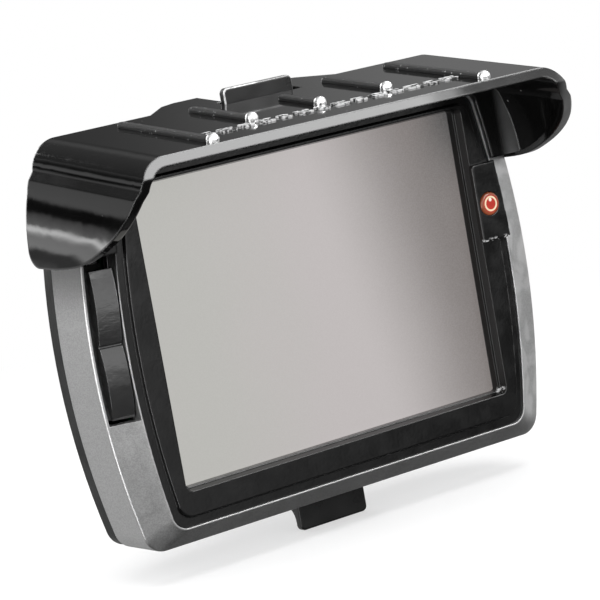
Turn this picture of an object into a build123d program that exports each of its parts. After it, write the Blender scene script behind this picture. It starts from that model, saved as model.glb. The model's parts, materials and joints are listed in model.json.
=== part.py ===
"""In-vehicle radar detector with a 3.5 inch display, a clip-on sun hood and a rear clamp cradle.

Row frame: +X to the right of a driver who faces the display, +Y forwards in the car, +Z up.
The origin is the centre of the cradle's four-hole pattern, on the cradle's rear mounting face.
Depths are measured backwards (+Y) from the display's front surface, in millimetres.
"""
from build123d import *
import math
import os

os.makedirs("parts", exist_ok=True)

# ---------------------------------------------------------------- driving dimensions
display_y = -28.0              # display surface, in front of the mounting face
aperture_half_width = 35.5     # opening over the 70.1 x 52.6 active area of a 3.5 inch 4:3 panel
aperture_half_height = 26.6
body_mid_z = -2.2              # height of the widest point of the body
body_half_width = 48.4
body_top = 32.2
body_bottom = -36.6
body_bow = 132.0               # radius of the bowed sides
body_corner = 4.0
bezel_half_width = 42.4
bezel_top = 29.4
bezel_bottom = -33.3
bezel_bow = 156.0
bezel_corner = 3.0
bezel_face = -3.4              # depth of the bezel's front face
facet_front = -3.0             # depth where the silver facet starts
ridge_depth = -0.4             # depth of the ridge between front facet and side
ridge_radius = 0.4
frame_rear = 9.5               # depth of the seam between side frame and rear shell
shell_step = 12.5              # depth where the rear shell starts to taper
shell_back = 21.0              # depth of the rear shell's flat back
back_half_width = 38.0
back_top = 24.0
back_bottom = -28.0
wall = 1.8
gap = 0.05                     # clearance between parts that are fitted together
hood_front = -23.2
hood_rear = 18.2
hood_level = 35.4              # height of the hood's top surface at the display surface
hood_rise = 0.124              # the top surface rises by this much per millimetre of depth
hood_wall = 1.8
tab_half_width = 7.55
tab_front = 6.9                # depth of the front faces of both finger tabs
tab_thickness = 1.7
tab_top = 39.0
tab_bottom = -42.9
hook_depth = 11.0              # depth of the grooves that the clamp's hooks reach into
hook_half_width = 5.5
screw_radius = 1.0


# ---------------------------------------------------------------- shared shapes
def depth_plane(depth):
    """Plane that faces the driver, at a depth behind the display surface."""
    return Plane.XZ.offset(-(display_y + depth))


def bowed_x(half_width, bow, z):
    """Half width of a bowed side at the height z."""
    return half_width - bow + math.sqrt(bow**2 - (z - body_mid_z) ** 2)


def barrel(half_width, top, bottom, corner, bow=body_bow):
    """Outline with straight top and bottom, bowed sides and rounded corners."""
    x_top = bowed_x(half_width, bow, top)
    x_bottom = bowed_x(half_width, bow, bottom)
    with BuildSketch() as outline:
        with BuildLine():
            Line((-x_top, top), (x_top, top))
            ThreePointArc((x_top, top), (half_width, body_mid_z), (x_bottom, bottom))
            Line((x_bottom, bottom), (-x_bottom, bottom))
            ThreePointArc((-x_bottom, bottom), (-half_width, body_mid_z), (-x_top, top))
        make_face()
        fillet(outline.vertices(), corner)
    return outline.sketch


def body_outline(inset=0.0, corner=body_corner):
    """Outline of the body, moved inwards by inset."""
    return barrel(body_half_width - inset, body_top - inset, body_bottom + inset, corner)


def side_band(inner, outer, low, high):
    """Upright strip of the left side between two bowed lines."""
    with BuildSketch() as band:
        add(barrel(outer, body_top, body_bottom, body_corner))
        add(barrel(inner, body_top + 1, body_bottom - 1, body_corner), mode=Mode.SUBTRACT)
        with Locations((-(inner + outer) / 2, (low + high) / 2)):
            Rectangle(20, high - low, mode=Mode.INTERSECT)
    return band.sketch


# ---------------------------------------------------------------- front bezel
opening_half_width = 36.33
opening_top = 27.0
opening_bottom = -27.2
opening_mid_z = (opening_top + opening_bottom) / 2
opening_height = opening_top - opening_bottom
bezel_back = -0.3              # depth of the bezel's rear face, on the display gasket
ledge_inset = 1.55             # width of the lower rim around the bezel's raised face
ledge_depth = -2.6
flange_depth = 0.7
lcd_half_width = 38.45
lcd_top = 28.6
lcd_bottom = -31.4
lcd_mid_z = (lcd_top + lcd_bottom) / 2
lug_points = [(-40.6, 22.0), (40.6, 22.0), (-40.3, -24.0), (40.3, -24.0)]
button_x = 38.7
button_z = 8.4
button_radius = 2.15
button_clearance = 0.08
plate_left = 36.0
plate_low = 1.5
plate_high = 16.1
face_round = 0.25              # rounding of the bezel's front edges
flange_half_width = 42.9
flange_top = 30.6
flange_bottom = -34.6
flange_front = -0.6
recess_slack = 0.2
slope_depth = 1.6              # depth of the opening's sloping wall
key_pocket_x = 39.05           # pocket of the power button's board
key_pocket_z = 8.8
key_pocket_width = 3.9
key_pocket_height = 12.6
key_pocket_back = -1.5
tail_x = 39.9                  # flexible tail of the button's board
tail_z = 4.2
post_radius = 1.5
post_back = 4.2

with BuildPart() as front_bezel:
    with BuildSketch(depth_plane(bezel_back)):
        add(barrel(bezel_half_width, bezel_top, bezel_bottom, bezel_corner, bezel_bow))
    extrude(amount=bezel_back - ledge_depth)
    with BuildSketch(depth_plane(ledge_depth)):
        add(
            barrel(
                bezel_half_width - ledge_inset,
                bezel_top - ledge_inset,
                bezel_bottom + ledge_inset,
                bezel_corner,
                bezel_bow,
            )
        )
    extrude(amount=ledge_depth - bezel_face, taper=18)
    fillet(front_bezel.faces().sort_by(Axis.Y)[0].edges(), face_round)
    # rear flange that sits behind the silver frame's lip
    with BuildSketch(depth_plane(flange_depth)):
        add(barrel(flange_half_width, flange_top, flange_bottom, bezel_corner, bezel_bow))
    extrude(amount=flange_depth - flange_front)
    # recess for the display module, open to the back
    with BuildSketch(depth_plane(flange_depth + 1)):
        with Locations((0, lcd_mid_z)):
            Rectangle(2 * lcd_half_width + recess_slack, lcd_top - lcd_bottom + recess_slack)
    extrude(amount=flange_depth + 1 - bezel_back, mode=Mode.SUBTRACT)
    # stepped, sloping opening in front of the display
    with BuildSketch(depth_plane(bezel_face)):
        with Locations((0, opening_mid_z)):
            RectangleRounded(2 * opening_half_width, opening_height, 1.4)
    extrude(amount=-slope_depth, taper=14, mode=Mode.SUBTRACT)
    with BuildSketch(depth_plane(0)):
        RectangleRounded(2 * aperture_half_width, 2 * aperture_half_height, 0.8)
    extrude(amount=3.0, mode=Mode.SUBTRACT)
    # pocket and cable slot for the power button's board
    with BuildSketch(depth_plane(key_pocket_back)):
        with Locations((key_pocket_x, key_pocket_z)):
            Rectangle(key_pocket_width, key_pocket_height)
    extrude(amount=3.0, mode=Mode.SUBTRACT)
    with BuildSketch(depth_plane(flange_depth)):
        with Locations((tail_x, tail_z)):
            Rectangle(1.2, 2.6)
    extrude(amount=3.0, mode=Mode.SUBTRACT)
    # room for the button's cap when it is pressed in
    with BuildSketch(depth_plane(facet_front)):
        with Locations((button_x, button_z)):
            Circle(button_radius + button_clearance)
    extrude(amount=3.0, mode=Mode.SUBTRACT)
    # four posts behind the corners for the display carrier's screws
    with BuildSketch(depth_plane(post_back)):
        with Locations(*lug_points):
            Circle(post_radius)
    extrude(amount=post_back - flange_depth + 0.1)
    with BuildSketch(depth_plane(post_back)):
        with Locations(*lug_points):
            Circle(screw_radius + gap)
    extrude(amount=4.0, mode=Mode.SUBTRACT)

# ---------------------------------------------------------------- display stack
gasket_thickness = 0.28
film_gap = 0.05                # air gap between the display's layers
tray_lip = 4.0                 # width taken by both folded edges of the backlight tray

with BuildPart() as display_gasket:
    with BuildSketch(depth_plane(0.0)):
        with Locations((0, lcd_mid_z)):
            Rectangle(2 * lcd_half_width, lcd_top - lcd_bottom)
        RectangleRounded(
            2 * aperture_half_width + recess_slack,
            2 * aperture_half_height + recess_slack,
            0.5,
            mode=Mode.SUBTRACT,
        )
    extrude(amount=gasket_thickness)

touch_thickness = 0.9
cell_thickness = 1.1
backlight_thickness = 1.9

with BuildPart() as touch_panel:
    with BuildSketch(depth_plane(touch_thickness)):
        with Locations((0, lcd_mid_z)):
            RectangleRounded(2 * lcd_half_width, lcd_top - lcd_bottom, 0.6)
    extrude(amount=touch_thickness)

cell_back = touch_thickness + film_gap + cell_thickness
with BuildPart() as lcd_panel:
    with BuildSketch(depth_plane(cell_back)):
        with Locations((0, lcd_mid_z)):
            Rectangle(2 * lcd_half_width - 1.0, lcd_top - lcd_bottom - 1.0)
    extrude(amount=cell_thickness)

backlight_back = cell_back + film_gap + backlight_thickness
with BuildPart() as backlight_unit:
    with BuildSketch(depth_plane(backlight_back)):
        with Locations((0, lcd_mid_z)):
            Rectangle(2 * lcd_half_width - 0.2, lcd_top - lcd_bottom - 0.2)
    extrude(amount=backlight_thickness)
    # folded edge of the steel tray around the light guide
    with BuildSketch(depth_plane(backlight_back - 0.4)):
        with Locations((0, lcd_mid_z)):
            Rectangle(2 * lcd_half_width - tray_lip, lcd_top - lcd_bottom - tray_lip)
    extrude(amount=backlight_thickness, mode=Mode.SUBTRACT)

with BuildPart() as light_guide:
    with BuildSketch(depth_plane(backlight_back - 0.45)):
        with Locations((0, lcd_mid_z)):
            Rectangle(
                2 * lcd_half_width - tray_lip - recess_slack,
                lcd_top - lcd_bottom - tray_lip - recess_slack,
            )
    extrude(amount=backlight_thickness - 0.5)

# ---------------------------------------------------------------- power button
plate_face = -4.4
plate_bow_edge = bezel_half_width + 0.15
button_face = -4.75
flange_back = -2.95            # rear face of the button's flange
ring_outer = 1.45
ring_inner = 1.1
switch_back = -1.93

with BuildPart() as button_plate:
    with BuildSketch(depth_plane(bezel_face)):
        add(barrel(plate_bow_edge, body_top, body_bottom, body_corner, bezel_bow))
        with Locations((plate_left + 5, (plate_low + plate_high) / 2)):
            RectangleRounded(10, plate_high - plate_low, 0.7, mode=Mode.INTERSECT)
    extrude(amount=bezel_face - plate_face)
    fillet(button_plate.faces().sort_by(Axis.Y)[0].edges(), 0.3)
    # stepped skirt that stands on the bezel's rim and reaches over the silver frame's edge
    for skirt_edge, skirt_depth in ((plate_bow_edge, facet_front), (bezel_half_width - gap, ledge_depth)):
        with BuildSketch(depth_plane(skirt_depth - 0.02)):
            add(barrel(skirt_edge, body_top, body_bottom, body_corner, bezel_bow))
            add(
                barrel(bezel_half_width - ledge_inset + 0.1, body_top, body_bottom, 3, bezel_bow),
                mode=Mode.SUBTRACT,
            )
            with Locations((plate_left + 5, (plate_low + plate_high) / 2)):
                RectangleRounded(10, plate_high - plate_low, 0.7, mode=Mode.INTERSECT)
        extrude(amount=skirt_depth - 0.02 - bezel_face)
    with BuildSketch(depth_plane(facet_front)):
        with Locations((button_x, button_z)):
            Circle(button_radius + button_clearance)
    extrude(amount=4, mode=Mode.SUBTRACT)

with BuildPart() as power_button:
    with BuildSketch(depth_plane(flange_back)):
        with Locations((button_x + 0.05, button_z)):
            Rectangle(3.1, 5.0)
    extrude(amount=0.4)
    with BuildSketch(depth_plane(flange_back - 0.4)):
        with Locations((button_x, button_z)):
            Circle(button_radius - 0.65)
    extrude(amount=0.4)
    with BuildSketch(depth_plane(bezel_face)):
        with Locations((button_x, button_z)):
            Circle(button_radius)
    extrude(amount=bezel_face - button_face)
    fillet(power_button.faces().sort_by(Axis.Y)[0].edges(), 0.45)
    # groove for the light ring
    with BuildSketch(depth_plane(button_face + 0.35)):
        with Locations((button_x, button_z)):
            Circle(ring_outer)
            Circle(ring_inner, mode=Mode.SUBTRACT)
    extrude(amount=1.0, mode=Mode.SUBTRACT)

with BuildPart() as button_light_ring:
    with BuildSketch(depth_plane(button_face + 0.34)):
        with Locations((button_x, button_z)):
            Circle(ring_outer - 0.01)
            Circle(ring_inner + 0.01, mode=Mode.SUBTRACT)
    extrude(amount=0.38)

with BuildPart() as button_board:
    with BuildSketch(depth_plane(key_pocket_back - 0.02)):
        with Locations((key_pocket_x, key_pocket_z)):
            Rectangle(key_pocket_width - recess_slack, key_pocket_height - recess_slack)
    extrude(amount=0.4)
    # flexible tail that runs back to the main board
    with BuildSketch(depth_plane(8.5)):
        with Locations((tail_x, tail_z)):
            Rectangle(0.3, 2.2)
    extrude(amount=10.1)

with BuildPart() as power_switch:
    with BuildSketch(depth_plane(switch_back)):
        with Locations((key_pocket_x, button_z)):
            RectangleRounded(3.4, 3.4, 0.3)
    extrude(amount=0.35)
    with BuildSketch(depth_plane(switch_back - 0.35)):
        with Locations((key_pocket_x, button_z)):
            Circle(1.0)
    extrude(amount=0.25)
    fillet(power_switch.faces().sort_by(Axis.Y)[0].edges(), 0.15)

# ---------------------------------------------------------------- silver side frame
window_low = -12.7
window_high = 19.2             # the window runs up behind the hood's wing
window_inner = 42.75
window_outer = 47.9
window_back = 2.8              # deep enough for the rocker's ends when they are pressed in

with BuildPart() as side_frame:
    with BuildSketch(depth_plane(ridge_depth)):
        add(body_outline())
    with BuildSketch(depth_plane(facet_front)):
        add(barrel(bezel_half_width + 0.3, bezel_top + 0.3, bezel_bottom - 0.3, 3.2, bezel_bow))
    loft()
    with BuildSketch(depth_plane(frame_rear)):
        add(body_outline())
    extrude(amount=frame_rear - ridge_depth)
    ridge_y = display_y + ridge_depth
    fillet(side_frame.edges().filter_by_position(Axis.Y, ridge_y - 0.01, ridge_y + 0.01), ridge_radius)
    # hole that the bezel fills, seat for its flange, and the hollow behind
    with BuildSketch(depth_plane(1.0)):
        add(
            barrel(
                bezel_half_width + gap,
                bezel_top + gap,
                bezel_bottom - gap,
                bezel_corner + gap,
                bezel_bow,
            )
        )
    extrude(amount=6, mode=Mode.SUBTRACT)
    with BuildSketch(depth_plane(1.0)):
        add(
            barrel(
                flange_half_width + gap,
                flange_top + gap,
                flange_bottom - gap,
                bezel_corner + gap,
                bezel_bow,
            )
        )
    extrude(amount=1.0 - flange_front + 0.02, mode=Mode.SUBTRACT)
    with BuildSketch(depth_plane(frame_rear)):
        add(body_outline(inset=wall, corner=2.4))
    extrude(amount=frame_rear - 0.5, mode=Mode.SUBTRACT)
    # window for the volume rocker in the left front facet
    with BuildSketch(depth_plane(window_back)):
        add(side_band(window_inner, window_outer, window_low, window_high))
    extrude(amount=6, mode=Mode.SUBTRACT)

# ---------------------------------------------------------------- volume rocker on the left facet
rocker_mid_z = 1.0
rocker_half_length = rocker_mid_z - window_low - 0.7
key_reach = 10.0               # distance of both keys from the pivot
rocker_pivot = 2.4             # depth of the pivot pin
rocker_inner = window_inner + 0.3
rocker_outer = window_outer - 1.2
rocker_x = -(rocker_inner + rocker_outer) / 2
facet_run = body_half_width - bezel_half_width
facet_drop = ridge_depth - facet_front
facet_plane = Plane(
    origin=(rocker_x, display_y + facet_front + facet_drop / 2, rocker_mid_z),
    x_dir=(0, 0, 1),
    z_dir=(-facet_run, facet_drop, 0),
)
pin_radius = 0.6
pad_end = 14.0                 # the crowned pads are drawn this far from the pivot
pad_sink = 1.4
pip_x = -44.3
web_x = -44.4
bracket_x = -42.4
bracket_back = 7.9

with BuildPart() as volume_rocker:
    with BuildSketch(depth_plane(1.5)):
        add(
            side_band(
                rocker_inner,
                rocker_outer,
                rocker_mid_z - rocker_half_length,
                rocker_mid_z + rocker_half_length,
            )
        )
    extrude(amount=6)
    # two crowned thumb pads that meet in a shallow valley, with sunken outer ends
    with BuildSketch(facet_plane):
        with BuildLine():
            ThreePointArc((-pad_end, pad_sink), (-6.0, -0.4), (0, 0.2))
            ThreePointArc((0, 0.2), (6.0, -0.4), (pad_end, pad_sink))
            Polyline((pad_end, pad_sink), (pad_end, 8), (-pad_end, 8), (-pad_end, pad_sink))
        make_face()
    extrude(amount=8, both=True, mode=Mode.INTERSECT)
    # parting groove in the valley
    with BuildSketch(facet_plane):
        with Locations((0, 0.1)):
            Circle(0.3)
    extrude(amount=8, both=True, mode=Mode.SUBTRACT)
    # web with the pivot hole, and a pip behind each half
    with BuildSketch(depth_plane(3.6)):
        with Locations((web_x, rocker_mid_z)):
            Rectangle(2.0, 4.0)
    extrude(amount=2.2)
    with BuildSketch(depth_plane(3.4)):
        with Locations((pip_x, rocker_mid_z - key_reach), (pip_x, rocker_mid_z + key_reach)):
            Circle(0.9)
    extrude(amount=2.0)
    with BuildSketch(Plane.YZ.offset(-50)):
        with Locations((display_y + rocker_pivot, rocker_mid_z)):
            Circle(pin_radius + 0.04)
    extrude(amount=10, mode=Mode.SUBTRACT)

with BuildPart() as rocker_pin:
    with BuildSketch(Plane.YZ.offset(-46.3)):
        with Locations((display_y + rocker_pivot, rocker_mid_z)):
            Circle(pin_radius)
    extrude(amount=4.2)

switch_x = -43.8
key_points = [(switch_x, rocker_mid_z - key_reach), (switch_x, rocker_mid_z + key_reach)]

with BuildPart() as rocker_bracket:
    with BuildSketch(depth_plane(bracket_back)):
        with Locations((bracket_x, rocker_mid_z)):
            Rectangle(5.8, 27.0)
        with Locations((web_x, rocker_mid_z)):
            Rectangle(3.8, 8.0)
    extrude(amount=1.0)
    with BuildSketch(depth_plane(bracket_back)):
        with Locations((-45.9, rocker_mid_z), (-42.6, rocker_mid_z)):
            Rectangle(0.8, 4.0)
    extrude(amount=6.3)
    with BuildSketch(Plane.YZ.offset(-50)):
        with Locations((display_y + rocker_pivot, rocker_mid_z)):
            Circle(pin_radius + 0.01)
    extrude(amount=10, mode=Mode.SUBTRACT)

with BuildPart() as key_board:
    with BuildSketch(depth_plane(bracket_back - 1.1)):
        with Locations((bracket_x, rocker_mid_z)):
            Rectangle(5.7, 26.6)
        with Locations((pip_x, rocker_mid_z)):
            Rectangle(4.6, 4.6, mode=Mode.SUBTRACT)
    extrude(amount=0.8)

with BuildPart() as key_switches:
    with BuildSketch(depth_plane(5.95)):
        with Locations(*key_points):
            RectangleRounded(3.2, 3.2, 0.3)
    extrude(amount=1.4)
    with BuildSketch(depth_plane(4.6)):
        with Locations(*key_points):
            Circle(0.8)
    extrude(amount=0.6)

# ---------------------------------------------------------------- display carrier and boards
carrier_front = backlight_back + 0.2
carrier_back = carrier_front + 1.0
board_front = 7.7
board_back = 8.9
case_screw_points = [(-31.5, 19.0), (31.5, 19.0), (-31.5, -23.5), (31.5, -23.5)]
board_screw_points = [(-35.3, 12.0), (35.3, -3.0), (0.0, 23.5), (-5.5, -29.0)]

with BuildPart() as display_carrier:
    with BuildSketch(depth_plane(carrier_back)):
        with Locations((0, -2.0)):
            RectangleRounded(76.0, 58.0, 2.0)
        with Locations(*[(x * 0.97, z) for x, z in lug_points]):
            Rectangle(6.0, 5.0)
        with Locations((-18, 0), (18, 0)):
            RectangleRounded(20, 24, 2.0, mode=Mode.SUBTRACT)
        with Locations((8, -29.2)):
            Rectangle(20, 3.2, mode=Mode.SUBTRACT)
    extrude(amount=carrier_back - carrier_front)
    with BuildSketch(depth_plane(board_front - gap)):
        with Locations(*case_screw_points, *board_screw_points):
            Circle(2.4)
    extrude(amount=board_front - gap - carrier_back)
    with BuildSketch(depth_plane(board_front)):
        with Locations(*case_screw_points, *board_screw_points, *lug_points):
            Circle(screw_radius + gap)
    extrude(amount=board_front - carrier_front, mode=Mode.SUBTRACT)

with BuildPart() as main_board:
    with BuildSketch(depth_plane(board_back)):
        with Locations((0, -2.5)):
            RectangleRounded(77.0, 59.0, 2.5)
        with Locations(*case_screw_points, *board_screw_points):
            Circle(screw_radius + gap, mode=Mode.SUBTRACT)
    extrude(amount=board_back - board_front)

with BuildPart() as board_chips:
    with BuildSketch(depth_plane(board_front - gap)):
        with Locations((-12, 8), (12, 6)):
            Rectangle(14, 14)
        with Locations((-12, -10), (10, -9), (22, -9)):
            Rectangle(8, 6)
    extrude(amount=1.1)

can_x = -19.0
can_z = -11.0
can_width = 14.1
can_height = 22.0
can_wall = 0.3

with BuildPart() as shield_can:
    with BuildSketch(depth_plane(board_back + 2.6)):
        with Locations((can_x, can_z)):
            RectangleRounded(can_width, can_height, 0.4)
    extrude(amount=2.55)
    with BuildSketch(depth_plane(board_back + 2.35)):
        with Locations((can_x, can_z)):
            Rectangle(can_width - 2 * can_wall, can_height - 2 * can_wall)
    extrude(amount=2.4, mode=Mode.SUBTRACT)
    with BuildSketch(depth_plane(board_back + 3)):
        with Locations((can_x, can_z)):
            with GridLocations(3.4, 3.8, 3, 4):
                Circle(0.5)
    extrude(amount=2.0, mode=Mode.SUBTRACT)

# ---------------------------------------------------------------- sensors
horn_x = -33.0
horn_z = -3.0
horn_mouth = 18.9
horn_throat = board_back + 3.2
horn_wall = 1.0
throat_x = horn_x + 2.0
mouth_x = horn_x + 4.0
throat_size = (6.3, 12.7)
mouth_size = (15.0, 21.0)

with BuildPart() as horn_antenna:
    with BuildSketch(depth_plane(horn_throat)):
        with Locations((throat_x, horn_z)):
            Rectangle(*throat_size)
    with BuildSketch(depth_plane(horn_mouth)):
        with Locations((mouth_x, horn_z)):
            Rectangle(*mouth_size)
    loft()
    with BuildSketch(depth_plane(horn_throat)):
        with Locations((throat_x, horn_z)):
            Rectangle(*throat_size)
    extrude(amount=3.1)
    with BuildSketch(depth_plane(horn_throat)):
        with Locations((throat_x, horn_z)):
            Rectangle(throat_size[0] - 2 * horn_wall, throat_size[1] - 2 * horn_wall)
    with BuildSketch(depth_plane(horn_mouth + 0.01)):
        with Locations((mouth_x, horn_z)):
            Rectangle(mouth_size[0] - 2 * horn_wall, mouth_size[1] - 2 * horn_wall)
    loft(mode=Mode.SUBTRACT)
    with BuildSketch(depth_plane(horn_throat)):
        with Locations((throat_x, horn_z)):
            Rectangle(throat_size[0] - 2 * horn_wall, throat_size[1] - 2 * horn_wall)
    extrude(amount=2.1, mode=Mode.SUBTRACT)

laser_x = 29.0
laser_z = 6.5
lens_radius = 5.0

with BuildPart() as laser_sensor:
    with BuildSketch(depth_plane(board_back + 1.6)):
        with Locations((laser_x, laser_z)):
            RectangleRounded(11, 11, 1)
    extrude(amount=1.55)
    with BuildSketch(depth_plane(board_back + 5.4)):
        with Locations((laser_x, laser_z)):
            Circle(3.2)
    extrude(amount=3.8)
    fillet(laser_sensor.faces().sort_by(Axis.Y)[-1].edges(), 0.5)

with BuildPart() as laser_lens:
    with BuildSketch(depth_plane(19.9)):
        with Locations((laser_x, laser_z)):
            Circle(lens_radius - gap)
    extrude(amount=-0.6)
    with BuildSketch(depth_plane(17.6)):
        with Locations((laser_x, laser_z)):
            Circle(lens_radius - 0.8)
    extrude(amount=-2.3)
    fillet(laser_lens.faces().sort_by(Axis.Y)[0].edges(), 1.0)

gps_z = 10.5
with BuildPart() as gps_antenna:
    with BuildSketch(depth_plane(18.6)):
        with Locations((0, gps_z)):
            RectangleRounded(18, 18, 1)
    extrude(amount=4.0)
    with BuildSketch(depth_plane(18.9)):
        with Locations((0, gps_z)):
            Rectangle(14, 14)
    extrude(amount=0.3)
    with BuildSketch(depth_plane(14.6)):
        with Locations((0, gps_z)):
            Rectangle(20, 20)
    extrude(amount=0.8)
    with BuildSketch(depth_plane(13.8)):
        with Locations((-8, gps_z - 8), (8, gps_z - 8), (-8, gps_z + 8), (8, gps_z + 8)):
            Circle(1.0)
    extrude(amount=13.8 - board_back - gap)

with BuildPart() as battery:
    with BuildSketch(depth_plane(17.0)):
        with Locations((0, -15.5)):
            RectangleRounded(22, 24, 1.5)
    extrude(amount=6.0)
    fillet(battery.edges().filter_by(Axis.Z), 0.8)

speaker_x = 28.0
speaker_z = -11.5
with BuildPart() as speaker:
    with BuildSketch(depth_plane(18.9)):
        with Locations((speaker_x, speaker_z)):
            Circle(8.5)
    extrude(amount=2.0)
    with BuildSketch(depth_plane(16.9)):
        with Locations((speaker_x, speaker_z)):
            Circle(5.5)
    extrude(amount=3.0)
    with BuildSketch(depth_plane(19.0)):
        with Locations((speaker_x, speaker_z)):
            Circle(7.5)
            Circle(3.0, mode=Mode.SUBTRACT)
    extrude(amount=0.8, mode=Mode.SUBTRACT)

# ---------------------------------------------------------------- sockets on the lower edge
usb_x = -14.0
usb_depth = 11.0
card_x = 18.5
card_depth = 10.3

with BuildPart() as usb_socket:
    with BuildSketch(Plane.XY.offset(-34.2)):
        with Locations((usb_x, display_y + usb_depth)):
            RectangleRounded(9.0, 3.9, 0.6)
            RectangleRounded(8.0, 2.9, 0.4, mode=Mode.SUBTRACT)
    extrude(amount=6.2)
    with BuildSketch(Plane.XY.offset(-28.5)):
        with Locations((usb_x, display_y + usb_depth)):
            Rectangle(8.6, 3.5)
    extrude(amount=0.5)
    # contact tongue
    with BuildSketch(Plane.XY.offset(-33.8)):
        with Locations((usb_x, display_y + usb_depth + 0.4)):
            Rectangle(6.4, 0.7)
    extrude(amount=5.5)

with BuildPart() as card_socket:
    with BuildSketch(Plane.XY.offset(-33.6)):
        with Locations((card_x, display_y + card_depth)):
            Rectangle(14.0, 2.4)
            Rectangle(11.2, 1.2, mode=Mode.SUBTRACT)
    extrude(amount=14.0)

with BuildPart() as memory_card:
    with BuildSketch(Plane.XZ.offset(-(display_y + card_depth + 0.45))):
        with Locations((card_x, -29.3)):
            RectangleRounded(11.0, 15.0, 0.6)
    extrude(amount=0.9)

# ribbon from the display to the main board, folded through the carrier's lower notch
ribbon_depth = backlight_back + 0.1
with BuildPart() as display_flex:
    with BuildSketch(Plane.YZ.offset(1.0)):
        with BuildLine():
            Polyline(
                (display_y + ribbon_depth, -26.5),
                (display_y + ribbon_depth, -28.6),
                (display_y + carrier_back + 0.8, -29.6),
                (display_y + board_front - 0.3, -28.6),
                (display_y + board_front - 0.3, -24.0),
            )
        trace(line_width=0.12)
    extrude(amount=14.0)

# ---------------------------------------------------------------- rear shell
radar_width = 15.4             # seat of the radar window
radar_height = 21.4
radar_rim = 1.0

with BuildPart() as rear_shell:
    with BuildSketch(depth_plane(shell_step)):
        add(body_outline(inset=0.15))
    extrude(amount=shell_step - frame_rear - 0.02)
    with BuildSketch(depth_plane(shell_step)):
        add(body_outline(inset=0.15))
    with BuildSketch(depth_plane(shell_back)):
        add(barrel(back_half_width, back_top, back_bottom, 4.5))
    loft()
    fillet(rear_shell.faces().sort_by(Axis.Y)[-1].edges(), 1.0)
    # hollow
    with BuildSketch(depth_plane(shell_step)):
        add(body_outline(inset=wall, corner=2.4))
    extrude(amount=shell_step - frame_rear + 1, mode=Mode.SUBTRACT)
    with BuildSketch(depth_plane(shell_step)):
        add(body_outline(inset=wall, corner=2.4))
    with BuildSketch(depth_plane(shell_back - wall)):
        add(barrel(back_half_width - 0.6, back_top - 0.6, back_bottom + 0.6, 3.5))
    loft(mode=Mode.SUBTRACT)
    # bosses for the case screws
    with BuildSketch(depth_plane(shell_back - 1)):
        with Locations(*case_screw_points):
            Circle(2.7)
    extrude(amount=shell_back - 1 - board_back - gap)
    with BuildSketch(depth_plane(shell_back + 1)):
        with Locations(*case_screw_points):
            Circle(2.0)
    extrude(amount=6.0, mode=Mode.SUBTRACT)
    with BuildSketch(depth_plane(shell_back)):
        with Locations(*case_screw_points):
            Circle(screw_radius + gap)
    extrude(amount=shell_back, mode=Mode.SUBTRACT)
    # seat and opening for the radar window
    with BuildSketch(depth_plane(shell_back + 0.5)):
        with Locations((mouth_x, horn_z)):
            RectangleRounded(radar_width, radar_height, 1.2)
    extrude(amount=1.3, mode=Mode.SUBTRACT)
    with BuildSketch(depth_plane(shell_back + 0.5)):
        with Locations((mouth_x, horn_z)):
            RectangleRounded(radar_width - 2 * radar_rim, radar_height - 2 * radar_rim, 0.8)
    extrude(amount=6.0, mode=Mode.SUBTRACT)
    # laser lens seat
    with BuildSketch(depth_plane(shell_back + 0.5)):
        with Locations((laser_x, laser_z)):
            Circle(lens_radius)
    extrude(amount=1.6, mode=Mode.SUBTRACT)
    with BuildSketch(depth_plane(shell_back + 0.5)):
        with Locations((laser_x, laser_z)):
            Circle(lens_radius - 0.7)
    extrude(amount=6.0, mode=Mode.SUBTRACT)
    # speaker grille
    with BuildSketch(depth_plane(shell_back + 0.5)):
        with Locations((speaker_x, speaker_z)):
            Circle(0.7)
            with PolarLocations(2.8, 6):
                Circle(0.7)
            with PolarLocations(5.4, 12):
                Circle(0.7)
    extrude(amount=3.0, mode=Mode.SUBTRACT)
    # grooves in the upper and lower walls for the cradle's hooks
    with BuildSketch(depth_plane(hook_depth + 0.7)):
        with Locations((0, body_top - 0.1), (0, body_bottom + 0.1)):
            Rectangle(2 * hook_half_width + 0.6, 1.4)
    extrude(amount=1.4, mode=Mode.SUBTRACT)
    # openings for the power socket and the memory card in the lower wall
    with BuildSketch(Plane.XY.offset(-38)):
        with Locations((usb_x, display_y + usb_depth)):
            RectangleRounded(9.4, 3.0, 0.5)
        with Locations((card_x, display_y + card_depth)):
            Rectangle(11.6, 1.5)
    extrude(amount=6.0, mode=Mode.SUBTRACT)

with BuildPart() as radar_window:
    with BuildSketch(depth_plane(shell_back)):
        with Locations((mouth_x, horn_z)):
            RectangleRounded(radar_width - 0.1, radar_height - 0.1, 1.15)
    extrude(amount=0.75)
    with BuildSketch(depth_plane(shell_back - 0.75)):
        with Locations((mouth_x, horn_z)):
            RectangleRounded(radar_width - 2 * radar_rim - 0.1, radar_height - 2 * radar_rim - 0.1, 0.75)
    extrude(amount=0.9)

# ---------------------------------------------------------------- screws
head_radius = 1.75
head_height = 1.1
cross_length = 1.9
cross_width = 0.4


def screw_row(points, head_depth, length):
    """Pan-head screws with cross recesses, heads towards the rear."""
    with BuildPart() as screws:
        with BuildSketch(depth_plane(head_depth)):
            with Locations(*points):
                Circle(head_radius)
        extrude(amount=-head_height)
        fillet(screws.faces().sort_by(Axis.Y)[-len(points):].edges(), 0.4)
        with BuildSketch(depth_plane(head_depth)):
            with Locations(*points):
                Circle(screw_radius)
        extrude(amount=length)
        with BuildSketch(depth_plane(head_depth + head_height + 0.1)):
            with Locations(*points):
                Rectangle(cross_length, cross_width)
                Rectangle(cross_width, cross_length)
        extrude(amount=0.7, mode=Mode.SUBTRACT)
    return screws


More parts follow.
